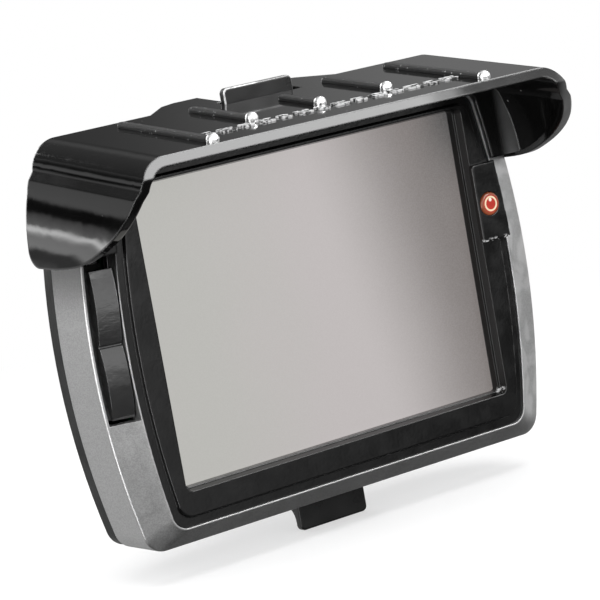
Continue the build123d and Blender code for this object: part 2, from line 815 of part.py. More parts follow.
case_screws = screw_row(case_screw_points, shell_back - 5 + gap, 9.5)
board_screws = screw_row(board_screw_points, board_back + gap, 3.2)
carrier_screws = screw_row(lug_points, carrier_back + gap, 4.3)

# ---------------------------------------------------------------- sun hood
hood_dir = (0, 1, hood_rise)
wing_bottom = 15.3
wing_rear = 11.6               # depth of the rear edge beside the middle lobe
lobe_underside = 34.6
rim_foot = 29.4                # lower end of the sloping front rim
rim_setback = 0.9              # the rim's upper edge lies this much further back than its foot
baffle_foot = 16.5             # lower end of the baffle that hides the silver frame's top corners
baffle_thickness = 0.9


def hood_section(inset):
    """Cross-section of the hood at the display surface, moved inwards by inset; its foot is open."""
    side = 50.1 - inset
    fold_top = (40.4 - 0.1 * inset, hood_level - inset)
    fold_mid = (44.7 - 0.75 * inset, 33.7 - 0.7 * inset)
    fold_end = (46.2 - 0.95 * inset, 30.6 - 0.25 * inset)
    crease = (47.3 - 0.95 * inset, 29.2 - 0.35 * inset)
    with BuildSketch() as section:
        with BuildLine() as right_half:
            Line((0, hood_level - inset), fold_top)
            ThreePointArc(fold_top, fold_mid, fold_end)
            Line(fold_end, crease)
            ThreePointArc(crease, (49.4 - inset, 22.0), (side, 14.0))
            Polyline((side, 14.0), (side, 4.0), (0, 4.0))
            mirror(right_half.line, about=Plane.YZ)
        make_face()
    return section.sketch


def lifted_plane(depth):
    """Depth plane raised with the hood's slope, so a section keeps its place on it."""
    plane = depth_plane(depth)
    plane.origin = plane.origin + Vector(0, 0, hood_rise * depth)
    return plane


hood_run = hood_rear - hood_front
hood_length = hood_run * math.sqrt(1 + hood_rise**2)
# the jaw's tab stands close behind the slot's front edge, with a relief beside it on the right
slot_clearance = 0.4
slot_relief = 1.6
slot_front = tab_front - slot_clearance
slot_rear = 9.6
slot_length = 2 * tab_half_width + slot_clearance + slot_relief

with BuildPart() as hood_shell:
    with BuildSketch(lifted_plane(hood_front)):
        add(hood_section(0))
    extrude(amount=hood_length, dir=hood_dir)
    with BuildSketch(lifted_plane(hood_front - 1)):
        add(hood_section(hood_wall))
    extrude(amount=hood_length + 3, dir=hood_dir, mode=Mode.SUBTRACT)
    # side view: curved lower edge of the two wings, raked rear edge
    with BuildSketch(Plane.YZ):
        with BuildLine():
            Spline(
                (display_y + hood_front, rim_foot),
                (display_y - 19.4, 22.6),
                (display_y - 9.0, 17.0),
                (display_y + 3.0, wing_bottom),
                tangents=((0.25, -1), (1, -0.03)),
            )
            Line((display_y + 3.0, wing_bottom), (display_y + 8.2, wing_bottom + 0.2))
            ThreePointArc(
                (display_y + 8.2, wing_bottom + 0.2),
                (display_y + 10.5, wing_bottom + 1.2),
                (display_y + 11.3, wing_bottom + 3.6),
            )
            Polyline(
                (display_y + 11.3, wing_bottom + 3.6),
                (display_y + wing_rear, 30.6),
                (display_y + wing_rear, lobe_underside),
                (display_y + hood_rear, lobe_underside),
                (display_y + hood_rear, 45.0),
                (display_y + hood_front + rim_setback, 45.0),
                (display_y + hood_front + rim_setback, hood_level + hood_rise * hood_front),
                (display_y + hood_front, rim_foot),
            )
        make_face()
    extrude(amount=60, both=True, mode=Mode.INTERSECT)
    # plan view: lobe at the back with the T-shaped slot for the upper jaw
    with BuildSketch(Plane.XY.offset(10)):
        with BuildLine():
            Polyline(
                (-60, display_y + hood_front - 1),
                (60, display_y + hood_front - 1),
                (60, display_y + wing_rear),
                (20.6, display_y + wing_rear),
                (14.8, display_y + 16.8),
                (11.5, display_y + hood_rear - 0.3),
                (-11.5, display_y + hood_rear - 0.3),
                (-14.8, display_y + 16.8),
                (-20.6, display_y + wing_rear),
                (-60, display_y + wing_rear),
                (-60, display_y + hood_front - 1),
            )
        make_face()
        with Locations(((slot_relief - slot_clearance) / 2, display_y + (slot_front + slot_rear) / 2)):
            RectangleRounded(slot_length, slot_rear - slot_front, 0.6, mode=Mode.SUBTRACT)
        with Locations((0, display_y + 14.6)):
            Rectangle(12.6, 12.0, mode=Mode.SUBTRACT)
    extrude(amount=40, mode=Mode.INTERSECT)
    # baffle inside the hood, in front of the silver frame's upper facet
    with BuildSketch(depth_plane(facet_front - gap)):
        add(hood_section(hood_wall / 2))
        add(
            barrel(bezel_half_width + 0.3, bezel_top + 0.3, bezel_bottom, bezel_corner, bezel_bow),
            mode=Mode.SUBTRACT,
        )
        with Locations((0, baffle_foot / 2)):
            Rectangle(120, baffle_foot, mode=Mode.SUBTRACT)
    extrude(amount=baffle_thickness)


top_plane = Plane(
    origin=(0, display_y, hood_level),
    x_dir=(1, 0, 0),
    z_dir=(0, -hood_rise, 1),
)
rib_x = [-29.4, -14.7, 0.0, 14.7, 29.4]
rib_front = [-20.9, -11.4, -11.4, -11.4, -20.9]
rib_rear = [8.0, 7.4, 0.6, 7.4, 8.0]
rib_width = 2.0
rib_height = 0.9
stud_radius = 1.15

with BuildPart() as hood_ribs:
    with BuildSketch(top_plane):
        for x, front, rear in zip(rib_x, rib_front, rib_rear):
            with Locations((x, (front + rear) / 2)):
                SlotOverall(rear - front, rib_width, rotation=90)
    extrude(amount=rib_height)
    fillet(hood_ribs.faces().sort_by(Axis((0, 0, 0), (0, -hood_rise, 1)))[-5:].edges(), 0.5)
    with BuildSketch(top_plane):
        with Locations(*zip(rib_x, rib_front)):
            Circle(stud_radius + gap)
    extrude(amount=3, mode=Mode.SUBTRACT)

with BuildPart() as hood_studs:
    with BuildSketch(top_plane):
        with Locations(*zip(rib_x, rib_front)):
            Circle(stud_radius)
    extrude(amount=1.5)
    fillet(hood_studs.faces().sort_by(Axis((0, 0, 0), (0, -hood_rise, 1)))[-5:].edges(), 1.05)

trim_pitch = 4.05
trim_count = 14
with BuildPart() as hood_trim_bars:
    with BuildSketch(top_plane):
        for index in range(trim_count):
            x = (index - (trim_count - 1) / 2) * trim_pitch
            length = 3.2 if index % 2 else 2.4
            with Locations((x, -15.4), (x, -13.9)):
                RectangleRounded(length, 0.8, 0.3)
    extrude(amount=0.3)

with BuildPart() as hood_pads:
    with BuildSketch(Plane.YZ.offset(-34)):
        with BuildLine():
            underside = hood_level - hood_wall * math.sqrt(1 + hood_rise**2) - gap
            Polyline(
                (display_y + 0.5, body_top + gap),
                (display_y + 9.0, body_top + gap),
                (display_y + 9.0, underside + 9.0 * hood_rise),
                (display_y + 0.5, underside + 0.5 * hood_rise),
                (display_y + 0.5, body_top + gap),
            )
        make_face()
    extrude(amount=18)
    mirror(about=Plane.YZ)

# ---------------------------------------------------------------- rear cradle
bolt_x = 30.17
bolt_z = 38.10
bolt_hole_radius = 2.15
tab_corner = 1.0               # rounding of the finger tabs' outer corners
tab_edge = 0.4                 # rounding of their rims
cradle_half_width = 20.5
cradle_half_height = 25.0
cradle_front = shell_back + 0.3
cradle_back_depth = -display_y
channel_half_width = 9.2
channel_low = -9.0
slide_front = cradle_front + 1.3
slide_thickness = 2.2
spring_x = 13.2
spring_pocket_top = 11.0
shoulder_half_width = 16.2
shoulder_top = -4.0
cover_half_width = 17.6
cover_half_height = 15.4
cover_thickness = 1.15
cover_screw_points = [(-13.2, 13.2), (13.2, 13.2), (-13.2, -12.2), (13.2, -12.2)]


def clamp_profile(sign, edge_z, back_z, tip_z, plate_z):
    """Side view of an arm that follows the shell's taper, crosses the body and ends in a finger tab.

    sign is +1 for the arm above the body and -1 for the arm below it.
    """
    clear = 0.2
    thickness = 1.6
    root_radius = 3.0 if sign < 0 else 2.0
    near = edge_z + sign * clear
    far = near + sign * thickness
    points = [
        (tab_front, tip_z),
        (tab_front, near),
        (shell_step, near),
        (cradle_front, back_z + sign * clear),
        (cradle_front, plate_z),
        (cradle_front + 3.4, plate_z),
        (cradle_front + 3.4, back_z + sign * (clear + 2.6)),
        (shell_step + 1.2, far),
        (tab_front + tab_thickness, far),
        (tab_front + tab_thickness, tip_z),
    ]
    with BuildSketch() as profile:
        with BuildLine():
            Polyline(*[(display_y + d, z) for d, z in points], close=True)
        make_face()
        root = profile.vertices().group_by(Axis.X)[1].sort_by(Axis.Y)
        fillet(root[-1] if sign < 0 else root[0], root_radius)
    return profile.sketch


with BuildPart() as cradle:
    with BuildSketch(depth_plane(cradle_back_depth)):
        RectangleRounded(2 * cradle_half_width, 2 * cradle_half_height, 3.5)
    extrude(amount=cradle_back_depth - cradle_front)
    fillet(cradle.faces().sort_by(Axis.Y)[-1].edges(), 0.8)
    # lower arm and finger tab
    with BuildSketch(Plane.YZ):
        add(clamp_profile(-1, body_bottom, back_bottom, tab_bottom, back_bottom + 6))
    extrude(amount=tab_half_width, both=True)
    fillet(cradle.edges().filter_by(Axis.Y).group_by(Axis.Z)[0], tab_corner)
    fillet(cradle.edges().filter_by(Axis.X).group_by(Axis.Z)[0], tab_edge)
    with BuildSketch(depth_plane(hook_depth + 0.4)):
        with Locations((0, body_bottom)):
            Rectangle(2 * hook_half_width, 0.8)
    extrude(amount=0.8)
    # channel for the sliding jaw, with side pockets for its shoulders and springs
    with BuildSketch(depth_plane(slide_front + slide_thickness + 0.15)):
        with Locations((0, (channel_low + cradle_half_height + 2) / 2)):
            Rectangle(2 * channel_half_width, cradle_half_height + 2 - channel_low)
        with Locations((0, (channel_low + spring_pocket_top) / 2)):
            Rectangle(2 * shoulder_half_width + 0.4, spring_pocket_top - channel_low)
    extrude(amount=10, mode=Mode.SUBTRACT)
    # springs need a deeper groove
    with BuildSketch(depth_plane(slide_front + slide_thickness + 1.3)):
        with Locations((-spring_x, (shoulder_top + spring_pocket_top) / 2)):
            Rectangle(4.8, spring_pocket_top - shoulder_top)
        with Locations((spring_x, (shoulder_top + spring_pocket_top) / 2)):
            Rectangle(4.8, spring_pocket_top - shoulder_top)
    extrude(amount=10, mode=Mode.SUBTRACT)
    # rebate for the cover plate
    with BuildSketch(depth_plane(cradle_front + 1.2)):
        Rectangle(2 * cover_half_width, 2 * cover_half_height)
    extrude(amount=10, mode=Mode.SUBTRACT)
    with BuildSketch(depth_plane(cradle_front + 4.2)):
        with Locations(*cover_screw_points):
            Circle(screw_radius + gap)
    extrude(amount=4.2, mode=Mode.SUBTRACT)
    # the four mounting holes, with hexagonal nut pockets in front
    with BuildSketch(depth_plane(cradle_back_depth + 1)):
        with GridLocations(bolt_x, bolt_z, 2, 2):
            Circle(bolt_hole_radius)
    extrude(amount=10, mode=Mode.SUBTRACT)
    with BuildSketch(depth_plane(cradle_back_depth - 3.0)):
        with GridLocations(bolt_x, bolt_z, 2, 2):
            RegularPolygon(4.1, 6)
    extrude(amount=10, mode=Mode.SUBTRACT)

with BuildPart() as cradle_cover:
    with BuildSketch(depth_plane(cradle_front + cover_thickness)):
        Rectangle(2 * cover_half_width - 0.2, 2 * cover_half_height - 0.2)
    extrude(amount=cover_thickness)
    with BuildSketch(depth_plane(cradle_front)):
        with Locations(*cover_screw_points):
            Circle(1.85)
    extrude(amount=-0.75, taper=45, mode=Mode.SUBTRACT)
    with BuildSketch(depth_plane(cradle_front + 2)):
        with Locations(*cover_screw_points):
            Circle(screw_radius + gap)
    extrude(amount=3, mode=Mode.SUBTRACT)

with BuildPart() as cover_screws:
    with BuildSketch(depth_plane(cradle_front + 0.05)):
        with Locations(*cover_screw_points):
            Circle(1.7)
    extrude(amount=-0.7, taper=45)
    with BuildSketch(depth_plane(cradle_front + 4.0)):
        with Locations(*cover_screw_points):
            Circle(screw_radius - 0.02)
    extrude(amount=3.9)

# ---------------------------------------------------------------- spring-loaded upper jaw
arm_half_width = 5.9
jaw_plate_z = cradle_half_height + 0.2

with BuildPart() as upper_jaw:
    with BuildSketch(Plane.YZ):
        add(clamp_profile(1, body_top, back_top, tab_top, jaw_plate_z))
    extrude(amount=tab_half_width, both=True)
    # the arm behind the tab is narrower, to pass the hood's slot
    with BuildSketch(depth_plane(cradle_back_depth)):
        with Locations((-10, 30), (10, 30)):
            Rectangle(20 - 2 * arm_half_width, 20)
    extrude(amount=cradle_back_depth - tab_front - tab_thickness - 0.6, mode=Mode.SUBTRACT)
    with BuildSketch(depth_plane(hook_depth + 0.4)):
        with Locations((0, body_top)):
            Rectangle(2 * hook_half_width, 0.8)
    extrude(amount=0.8)
    # slider with shoulders for the two springs
    with BuildSketch(depth_plane(slide_front + slide_thickness)):
        with Locations((0, (channel_low + 0.2 + jaw_plate_z + 0.5) / 2)):
            Rectangle(2 * channel_half_width - 0.4, jaw_plate_z + 0.5 - channel_low - 0.2)
        with Locations((0, (channel_low + 0.2 + shoulder_top) / 2)):
            Rectangle(2 * shoulder_half_width, shoulder_top - channel_low - 0.2)
    extrude(amount=slide_thickness - 0.1)
    fillet(upper_jaw.edges().filter_by(Axis.Y).group_by(Axis.Z)[-1], tab_corner)
    fillet(upper_jaw.edges().filter_by(Axis.X).group_by(Axis.Z)[-1], tab_edge)

spring_radius = 1.4
spring_wire = 0.25
spring_length = spring_pocket_top - shoulder_top - 0.2
spring_depth = slide_front + 1.75

with BuildPart() as jaw_springs:
    for x in (-spring_x, spring_x):
        spring_base = (x, display_y + spring_depth, shoulder_top + 0.1 + spring_wire)
        with BuildLine() as coil:
            Helix(
                pitch=(spring_length - 2 * spring_wire) / 7,
                height=spring_length - 2 * spring_wire,
                radius=spring_radius,
                center=spring_base,
            )
        with BuildSketch(Plane(origin=coil.line @ 0, z_dir=coil.line % 0)):
            Circle(spring_wire)
        sweep(path=coil.line)

# ---------------------------------------------------------------- export
pieces = {
    "hood_shell": hood_shell,
    "hood_ribs": hood_ribs,
    "hood_studs": hood_studs,
    "hood_trim_bars": hood_trim_bars,
    "hood_pads": hood_pads,
    "front_bezel": front_bezel,
    "display_gasket": display_gasket,
    "touch_panel": touch_panel,
    "lcd_panel": lcd_panel,
    "light_guide": light_guide,
    "backlight_tray": backlight_unit,
    "button_plate": button_plate,
    "power_button": power_button,
    "button_light_ring": button_light_ring,
    "button_board": button_board,
    "power_switch": power_switch,
    "side_frame": side_frame,
    "volume_rocker": volume_rocker,
    "rocker_pin": rocker_pin,
    "rocker_bracket": rocker_bracket,
    "key_board": key_board,
    "key_switches": key_switches,
    "display_carrier": display_carrier,
    "main_board": main_board,
    "board_chips": board_chips,
    "shield_can": shield_can,
    "horn_antenna": horn_antenna,
    "laser_sensor": laser_sensor,
    "laser_lens": laser_lens,
    "gps_antenna": gps_antenna,
    "battery": battery,
    "speaker": speaker,
    "usb_socket": usb_socket,
    "card_socket": card_socket,
    "memory_card": memory_card,
    "display_flex": display_flex,
    "rear_shell": rear_shell,
    "radar_window": radar_window,
    "case_screws": case_screws,
    "board_screws": board_screws,
    "carrier_screws": carrier_screws,
    "cradle": cradle,
    "cradle_cover": cradle_cover,
    "cover_screws": cover_screws,
    "upper_jaw": upper_jaw,
    "jaw_springs": jaw_springs,
}
for name, piece in pieces.items():
    piece.part.label = name
    export_step(piece.part, f"parts/{name}.step")
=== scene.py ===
import json
import math

import bmesh
import bpy
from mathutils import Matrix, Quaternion, Vector


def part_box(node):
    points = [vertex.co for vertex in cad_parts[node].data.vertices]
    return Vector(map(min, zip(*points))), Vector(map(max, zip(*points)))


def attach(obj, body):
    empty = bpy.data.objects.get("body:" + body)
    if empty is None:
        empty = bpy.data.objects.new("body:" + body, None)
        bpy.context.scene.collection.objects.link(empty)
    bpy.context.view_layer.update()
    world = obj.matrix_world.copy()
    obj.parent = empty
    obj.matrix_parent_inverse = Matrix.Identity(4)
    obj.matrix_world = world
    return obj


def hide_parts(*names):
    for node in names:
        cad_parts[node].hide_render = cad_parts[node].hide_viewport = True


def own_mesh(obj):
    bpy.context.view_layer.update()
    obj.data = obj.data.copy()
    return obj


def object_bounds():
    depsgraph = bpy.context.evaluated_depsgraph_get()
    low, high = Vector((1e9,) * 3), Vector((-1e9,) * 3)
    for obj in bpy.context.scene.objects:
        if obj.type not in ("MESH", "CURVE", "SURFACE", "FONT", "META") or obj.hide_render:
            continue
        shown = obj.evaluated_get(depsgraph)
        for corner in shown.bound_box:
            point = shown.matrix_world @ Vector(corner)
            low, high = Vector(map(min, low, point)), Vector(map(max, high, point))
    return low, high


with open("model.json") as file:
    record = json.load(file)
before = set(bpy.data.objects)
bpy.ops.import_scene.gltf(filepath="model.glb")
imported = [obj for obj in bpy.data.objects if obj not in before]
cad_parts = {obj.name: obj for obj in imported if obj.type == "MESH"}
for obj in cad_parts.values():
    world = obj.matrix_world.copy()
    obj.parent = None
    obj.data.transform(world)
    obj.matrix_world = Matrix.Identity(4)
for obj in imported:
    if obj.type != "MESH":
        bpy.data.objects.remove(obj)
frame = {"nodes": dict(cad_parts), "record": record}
cad_low, cad_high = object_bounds()
nodes = frame["nodes"]
MM = 0.001

# ---------------------------------------------------------------- places taken from the frame
panel_low, panel_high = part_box("touch_panel")
bezel_low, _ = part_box("front_bezel")
plate_low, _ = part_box("button_plate")
_, hood_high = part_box("hood_shell")
DISPLAY_MID = (panel_low + panel_high) / 2
DISPLAY_HALF = (panel_high - panel_low) / 2
# lower right corner of the display's recess in the bezel, where a painted glint is centred
RECESS_CORNER = Vector((plate_low.x - 0.1 * MM, bezel_low.y + 1.2 * MM, panel_low.z + 4.6 * MM))
FLOOR_Z = cad_low.z - 0.1 * MM


# ---------------------------------------------------------------- material building blocks
class Tree:
    """Short ways to make and join nodes in a material's or the world's node tree."""

    def __init__(self, owner, coordinates):
        owner.use_nodes = True
        self.tree = owner.node_tree
        self.tree.nodes.clear()
        self.place = self.node("ShaderNodeTexCoord").outputs[coordinates]

    def node(self, kind, settings=None, **inputs):
        made = self.tree.nodes.new(kind)
        for key, value in (settings or {}).items():
            setattr(made, key, value)
        for key, value in inputs.items():
            self.feed(made.inputs[key.replace("_", " ")], value)
        return made

    def feed(self, socket, value):
        if isinstance(value, bpy.types.NodeSocket):
            self.tree.links.new(value, socket)
        elif isinstance(value, (tuple, list)) and socket.type == "RGBA":
            socket.default_value = (*value[:3], 1.0)
        else:
            socket.default_value = value

    def ramp(self, value, stops, levels):
        """Smooth step: levels[0] up to stops[0], levels[1] from stops[1]."""
        made = self.node("ShaderNodeMapRange", {"interpolation_type": "SMOOTHSTEP"}, Value=value)
        for socket, number in zip(("From Min", "From Max", "To Min", "To Max"), (*stops, *levels)):
            made.inputs[socket].default_value = number
        return made.outputs["Result"]

    def maths(self, operation, a, b=0.0):
        made = self.node("ShaderNodeMath", {"operation": operation})
        self.feed(made.inputs[0], a)
        self.feed(made.inputs[1], b)
        return made.outputs[0]

    def times(self, a, b):
        return self.maths("MULTIPLY", a, b)

    def mix(self, factor, first, second):
        made = self.node("ShaderNodeMix", {"data_type": "RGBA"})
        self.feed(made.inputs[0], factor)
        self.feed(made.inputs[6], first)
        self.feed(made.inputs[7], second)
        return made.outputs[2]

    def bands(self, value, stops):
        """Grey levels along value: stops are (position, level)."""
        made = self.node("ShaderNodeValToRGB", Fac=value)
        elements = made.color_ramp.elements
        while len(elements) < len(stops):
            elements.new(0.5)
        for element, (position, level) in zip(elements, stops):
            element.position = position
            element.color = (level, level, level, 1)
        return made.outputs[0]


class Shader(Tree):
    """A material with a Principled BSDF and a few ready-made procedural inputs."""

    def __init__(self, name):
        self.material = bpy.data.materials.new(name)
        super().__init__(self.material, "Object")
        self.bsdf = self.node("ShaderNodeBsdfPrincipled")
        self.node("ShaderNodeOutputMaterial", Surface=self.bsdf.outputs[0])
        self.normal = None

    def set(self, **inputs):
        for key, value in inputs.items():
            self.feed(self.bsdf.inputs[key.replace("_", " ")], value)
        return self

    def noise(self, size_mm, detail=3.0, roughness=0.5, stretch=(1, 1, 1), distortion=0.0):
        """Soft noise from 0 to 1 whose blobs are about size_mm wide; stretch squeezes it per axis."""
        mapped = self.node("ShaderNodeMapping", Vector=self.place, Scale=stretch).outputs[0]
        made = self.node(
            "ShaderNodeTexNoise",
            Vector=mapped,
            Scale=1 / (size_mm * MM),
            Detail=detail,
            Roughness=roughness,
            Distortion=distortion,
        )
        return made.outputs["Fac"]

    def specks(self, spacing_mm, share):
        """1 inside sparse round specks, 0 elsewhere. share is the speck's radius over the spacing."""
        cells = self.node("ShaderNodeTexVoronoi", Vector=self.place, Scale=1 / (spacing_mm * MM))
        return self.ramp(cells.outputs["Distance"], (share, share * 1.3), (1.0, 0.0))

    def round_edges(self, radius_mm):
        self.normal = self.node("ShaderNodeBevel", {"samples": 6}, Radius=radius_mm * MM).outputs[0]
        self.set(Normal=self.normal)
        return self

    def facing(self, which="Normal"):
        """The x, y and z sockets of the surface's normal."""
        normal = self.node("ShaderNodeNewGeometry").outputs[which]
        return self.node("ShaderNodeSeparateXYZ", Vector=normal).outputs

    def xyz(self):
        """The x, y and z sockets of the place on the object, in metres."""
        return self.node("ShaderNodeSeparateXYZ", Vector=self.place).outputs

    def vectors(self, operation, a, b):
        """SUBTRACT or MULTIPLY two vectors, or give the DISTANCE between them."""
        made = self.node("ShaderNodeVectorMath", {"operation": operation})
        self.feed(made.inputs[0], a)
        self.feed(made.inputs[1], b)
        return made.outputs["Value" if operation == "DISTANCE" else "Vector"]

    def bump(self, height, depth_mm, strength=1.0):
        made = self.node("ShaderNodeBump", Height=height, Strength=strength, Distance=depth_mm * MM)
        if self.normal is not None:
            self.feed(made.inputs["Normal"], self.normal)
        self.normal = made.outputs[0]
        self.set(Normal=self.normal)
        return self


def grey(level):
    return (level, level, level)


def plastic(name, base, rough, *, edge=0.15, grain_mm=0.25, grain=0.004, tone=0.25, coat=0.0, ior=1.5):
    """Moulded plastic: faint tone drift, a fine moulded grain and uneven gloss."""
    s = Shader(name).round_edges(edge)
    drift = s.noise(9.0, detail=4.0)
    colour = s.mix(drift, tuple(c * (1 - tone) for c in base), tuple(c * (1 + tone) for c in base))
    s.set(Base_Color=colour, Roughness=s.ramp(s.noise(4.0), (0.2, 0.8), (rough * 0.8, rough * 1.25)))
    s.set(Coat_Weight=coat, Coat_Roughness=0.06, IOR=ior)
    s.bump(s.noise(grain_mm, detail=2.0), grain)
    return s.material


def metal(name, base, rough, *, edge=0.12, brush=(1, 1, 1), brush_mm=0.3, tone=0.15):
    """Bare metal with brushed or cast streaks."""
    s = Shader(name).round_edges(edge)
    streak = s.noise(brush_mm, detail=3.0, stretch=brush)
    colour = s.mix(streak, tuple(c * (1 - tone) for c in base), tuple(min(1, c * (1 + tone)) for c in base))
    s.set(Base_Color=colour, Metallic=1.0, Roughness=s.ramp(streak, (0.25, 0.75), (rough * 0.7, rough * 1.3)))
    s.bump(streak, 0.004)
    return s.material


# ---------------------------------------------------------------- materials of the visible surfaces
def hood_plastic():
    """Polished black with slow waves, faint streaks, sparse dust and a painted highlight: a paler grey on the
    front edge of the right wing.
    """
    s = Shader("hood_plastic").round_edges(0.5)
    dust = s.times(s.specks(4.5, 0.035), s.ramp(s.noise(14.0), (0.5, 0.6), (0.0, 1.0)))
    skin = s.mix(s.noise(12.0), grey(0.0015), grey(0.004))
    right_wing = s.ramp(s.xyz()[0], (hood_high.x - 6.6 * MM, hood_high.x - 3.6 * MM), (0.0, 1.0))
    cut_edge = s.times(s.ramp(s.facing("True Normal")[1], (-0.6, -0.3), (1.0, 0.0)), right_wing)
    # painted highlight: the right wing's front edge is coloured a paler grey that stands in for a light band
    painted_edge_highlight = s.times(cut_edge, s.ramp(s.noise(5.0), (0.3, 0.7), (0.75, 1.0)))
    skin = s.mix(painted_edge_highlight, skin, grey(0.085))
    s.set(Base_Color=s.mix(dust, skin, grey(0.3)))
    s.set(Roughness=s.ramp(s.noise(7.0, detail=5.0), (0.3, 0.7), (0.045, 0.085)), IOR=1.52)
    s.bump(s.noise(14.0, detail=1.0, stretch=(1, 0.35, 1)), 0.035)
    s.bump(s.noise(2.5, detail=3.0, stretch=(0.15, 1, 1)), 0.006)
    return s.material


def rib_plastic():
    """Dull black ribs, peppered with pale wear on their crowns."""
    s = Shader("rib_plastic").round_edges(0.2)
    pepper = s.times(s.specks(0.8, 0.16), s.ramp(s.noise(2.4), (0.5, 0.62), (0.0, 0.8)))
    s.set(Base_Color=s.mix(pepper, grey(0.003), grey(0.30)), Roughness=0.6)
    s.bump(s.noise(0.5, detail=4.0), 0.05)
    return s.material


def stud_chrome():
    """Satin chrome, slightly pitted."""
    s = Shader("stud_chrome").round_edges(0.1)
    s.set(Base_Color=s.mix(s.noise(0.6), grey(0.78), grey(0.95)), Metallic=1.0)
    s.set(Roughness=s.ramp(s.noise(0.5), (0.3, 0.7), (0.22, 0.42)))
    s.bump(s.noise(0.7), 0.03)
    return s.material


def trim_paint():
    """Pale print, worn through to the black in patches."""
    s = Shader("trim_paint")
    wear = s.ramp(s.noise(0.8, detail=5.0), (0.42, 0.56), (0.0, 1.0))
    s.set(Base_Color=s.mix(wear, grey(0.03), grey(0.66)), Roughness=0.35, Metallic=0.1)
    s.bump(wear, 0.02)
    return s.material


def bezel_plastic(name="bezel_plastic", worn_from=None, worn_to=None):
    """Black moulding with an orange-peel skin, wear flecks between the heights worn_from and worn_to, and a
    painted glint of pale flecks at the display recess's lower right corner.
    """
    s = Shader(name).round_edges(0.22)
    colour = s.mix(s.noise(6.0, detail=5.0), grey(0.0025), grey(0.005))
    if worn_from is not None:
        near = s.ramp(s.xyz()[2], (worn_from, worn_to), (1.0, 0.0))
        flecks = s.times(near, s.ramp(s.noise(0.7, detail=4.0), (0.50, 0.58), (0.0, 1.0)))
        colour = s.mix(flecks, colour, grey(0.55))
    # painted glint: pale flecks around the recess's lower right corner stand in for a highlight there
    painted_corner_glint = s.ramp(s.vectors("DISTANCE", s.place, RECESS_CORNER), (0.7 * MM, 1.3 * MM), (1.0, 0.0))
    painted_corner_glint = s.times(painted_corner_glint, s.ramp(s.noise(0.6, detail=3.0), (0.52, 0.56), (0.0, 1.0)))
    s.set(Base_Color=s.mix(painted_corner_glint, colour, grey(0.4)), IOR=1.46)
    s.set(Roughness=s.ramp(s.noise(3.0, detail=4.0), (0.3, 0.7), (0.15, 0.24)))
    s.bump(s.noise(0.6, detail=1.0), 0.014)
    return s.material


def display_film():
    """Unlit display under an anti-glare film, drawn as glowing painted light: a warm grey with painted shade
    to the right and a painted shadow in its upper corner.
    """
    s = Shader("display_film")
    x, _, z = s.xyz()
    x = s.maths("DIVIDE", s.maths("SUBTRACT", x, DISPLAY_MID.x), DISPLAY_HALF.x)
    z = s.maths("DIVIDE", s.maths("SUBTRACT", z, DISPLAY_MID.z), DISPLAY_HALF.z)
    cloud = s.times(s.maths("SUBTRACT", s.noise(26.0, detail=2.0), 0.5), 0.5)
    left_to_middle = s.ramp(s.maths("ADD", x, cloud), (-0.8, 0.1), (0.0, 1.0))
    tone = s.mix(left_to_middle, (0.450, 0.445, 0.420), (0.485, 0.452, 0.448))
    # painted shade, darker to the right; it starts further to the left towards the top
    painted_shade_across = s.maths("ADD", s.maths("ADD", x, s.times(z, 0.15)), s.times(cloud, 0.2))
    tone = s.mix(s.ramp(painted_shade_across, (0.145, 0.88), (0.0, 1.0)), tone, (0.190, 0.170, 0.163))
    # painted shadow in the upper right corner
    corner = s.times(s.ramp(x, (0.66, 0.98), (0.0, 1.0)), s.ramp(z, (0.3, 0.98), (0.0, 1.0)))
    tone = s.mix(corner, tone, grey(0.06))
    grain = s.noise(0.22, detail=0.0)
    tone = s.mix(s.ramp(grain, (0.2, 0.8), (0.0, 0.04)), tone, grey(0.9))
    # the unlit display glows with this painted light and shade
    s.set(Base_Color=grey(0.01), Emission_Color=tone, Emission_Strength=1.0)
    s.set(Roughness=0.4, IOR=1.35)
    s.bump(grain, 0.003)
    return s.material


def frame_silver():
    """Metallic paint with tiny flakes, a painted shadow under the left wing and paler patches on the right
    that are painted reflections.
    """
    s = Shader("frame_silver").round_edges(0.15)
    flake = s.node("ShaderNodeTexVoronoi", Vector=s.place, Scale=1 / (0.16 * MM)).outputs["Color"]
    flake = s.node("ShaderNodeSeparateColor", Color=flake).outputs[0]
    cloud = s.noise(3.5, detail=4.0)
    base = s.mix(cloud, grey(0.29), grey(0.36))
    x, _, z = s.xyz()
    # painted shadow: darker towards the top under the left wing, where the wing shades it
    painted_wing_shadow = s.times(
        s.ramp(z, (4.0 * MM, 15.5 * MM), (0.0, 0.8)),
        s.ramp(x, (-40.0 * MM, -20.0 * MM), (1.0, 0.0)),
    )
    # painted reflection: paler patches on the right side
    patches = s.times(
        s.ramp(s.noise(9.0, detail=2.0, distortion=1.0), (0.44, 0.58), (0.0, 0.6)),
        s.ramp(x, (36.0 * MM, 42.0 * MM), (0.0, 1.0)),
    )
    flaked = s.mix(s.ramp(flake, (0.0, 1.0), (0.0, 0.55)), base, grey(0.50))
    s.set(Base_Color=s.mix(painted_wing_shadow, s.mix(patches, flaked, grey(0.60)), grey(0.05)))
    s.set(Metallic=0.94, Roughness=s.ramp(cloud, (0.3, 0.7), (0.36, 0.44)))
    s.bump(flake, 0.0015)
    s.bump(s.noise(1.2, detail=3.0), 0.006)
    return s.material


def rocker_gloss():
    """Polished black key whose skin is slightly wavy, so its reflections break up."""
    s = Shader("rocker_gloss").round_edges(0.25)
    s.set(Base_Color=s.mix(s.noise(3.0), grey(0.006), grey(0.02)), Roughness=0.10)
    s.set(Coat_Weight=1.0, Coat_Roughness=0.03)
    low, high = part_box("volume_rocker")
    middle = (low.z + high.z) / 2
    upper = s.ramp(s.xyz()[2], (middle - 2 * MM, middle + 2 * MM), (0.0, 1.0))
    s.bump(s.noise(2.2, detail=3.0, stretch=(1, 1, 1.6)), 0.14)
    s.bump(s.times(upper, s.noise(0.9, detail=2.0, stretch=(0.6, 0.6, 2.2))), 0.08)
    return s.material


